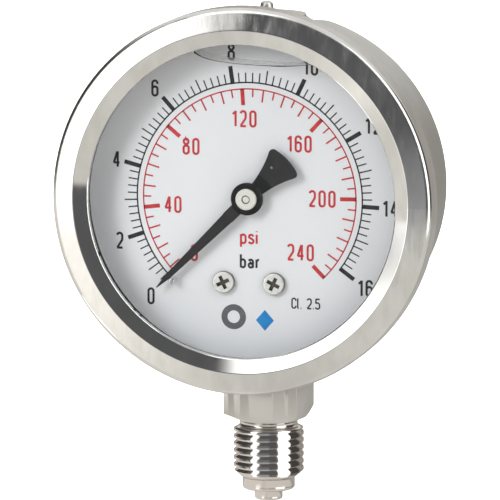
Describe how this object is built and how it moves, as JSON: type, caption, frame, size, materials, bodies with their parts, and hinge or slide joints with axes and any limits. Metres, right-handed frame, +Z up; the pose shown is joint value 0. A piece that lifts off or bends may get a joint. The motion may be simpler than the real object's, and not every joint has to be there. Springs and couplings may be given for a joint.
{
  "type": "pressure gauge",
  "caption": "Liquid-filled Bourdon tube pressure gauge with a round steel case, dual-scale dial, black pointer and a bottom threaded stem.",
  "frame": {"origin": "centre of the flat sealing face under the thread, on the stem's axis", "axes": "+Z up along the stem's axis to the top of the case; the dial faces -Y; +X to the right as the dial is read"},
  "size_m": [0.071, 0.0346, 0.0942],
  "materials": {
    "case_steel": "fine satin, pressed and blasted",
    "bezel_steel": "polished with faint brushed streaks",
    "stem_steel": "turned and milled, bright",
    "window_glass": "clear, flat",
    "rubber_seal": "matt black",
    "dial_white": "matt white enamel with printed scales",
    "pointer_black": "matt black",
    "bright_parts": "bright turned",
    "brass_parts": "fine machined",
    "tube_bronze": "drawn, slightly dull",
    "plug_steel": "fine satin"
  },
  "bodies": {
    "housing": {"process_connection": "stem_steel", "case": "case_steel", "bezel": "bezel_steel", "window": "window_glass", "window_gasket": "rubber_seal", "dial": "dial_white", "dial_screws": "bright_parts", "zero_stop_pin": "bright_parts", "movement_front_plate": "brass_parts", "movement_back_plate": "brass_parts", "plate_pillars": "brass_parts", "pillar_screws": "bright_parts", "movement_screws": "bright_parts", "hairspring": "tube_bronze", "hairspring_stud": "brass_parts", "bourdon_tube": "tube_bronze", "restrictor_screw": "brass_parts"},
    "sector_body": {"sector": "brass_parts", "sector_arbor": "bright_parts", "sector_link_pin": "bright_parts"},
    "pointer_body": {"pointer": "pointer_black", "pointer_hub": "bright_parts", "pinion_arbor": "bright_parts", "hairspring_collet": "brass_parts"},
    "tip_body": {"tube_tip": "brass_parts", "tip_link_pin": "bright_parts"},
    "link_body": {"link": "brass_parts"},
    "plug_body": {"filler_plug": "plug_steel"}
  },
  "joints": [
    {"name": "sector_swing", "type": "hinge", "parent": "housing", "child": "sector_body", "pos_m": [0, 0, 0.0442], "axis": [0, -1, 0], "range_deg": [0, 30], "stiffness_Nm_per_rad": 0.02, "springref_deg": -1.15},
    {"name": "pointer_spin", "type": "hinge", "parent": "housing", "child": "pointer_body", "pos_m": [0, 0, 0.0567], "axis": [0, 1, 0], "range_deg": [0, 270], "deforming": ["hairspring"]},
    {"name": "tube_tip_travel", "type": "slide", "parent": "housing", "child": "tip_body", "axis": [0.6947, 0, 0.7193], "range_m": [0, 0.0026], "deforming": ["bourdon_tube"]},
    {"name": "link_turn", "type": "hinge", "parent": "sector_body", "child": "link_body", "pos_m": [0.00258, 0, 0.03991], "axis": [0, -1, 0], "range_deg": [-29.4, 0]},
    {"name": "filler_plug_pull", "type": "slide", "parent": "housing", "child": "plug_body", "axis": [0, 0, 1], "range_m": [0, 0.008]}
  ],
  "couplings": [
    {"joint": "pointer_spin", "follows": "sector_swing", "ratio": 9},
    {"joint": "tube_tip_travel", "follows": "sector_swing", "m_per_rad": 0.004942},
    {"joint": "link_turn", "follows": "sector_swing", "ratio": -0.98}
  ]
}
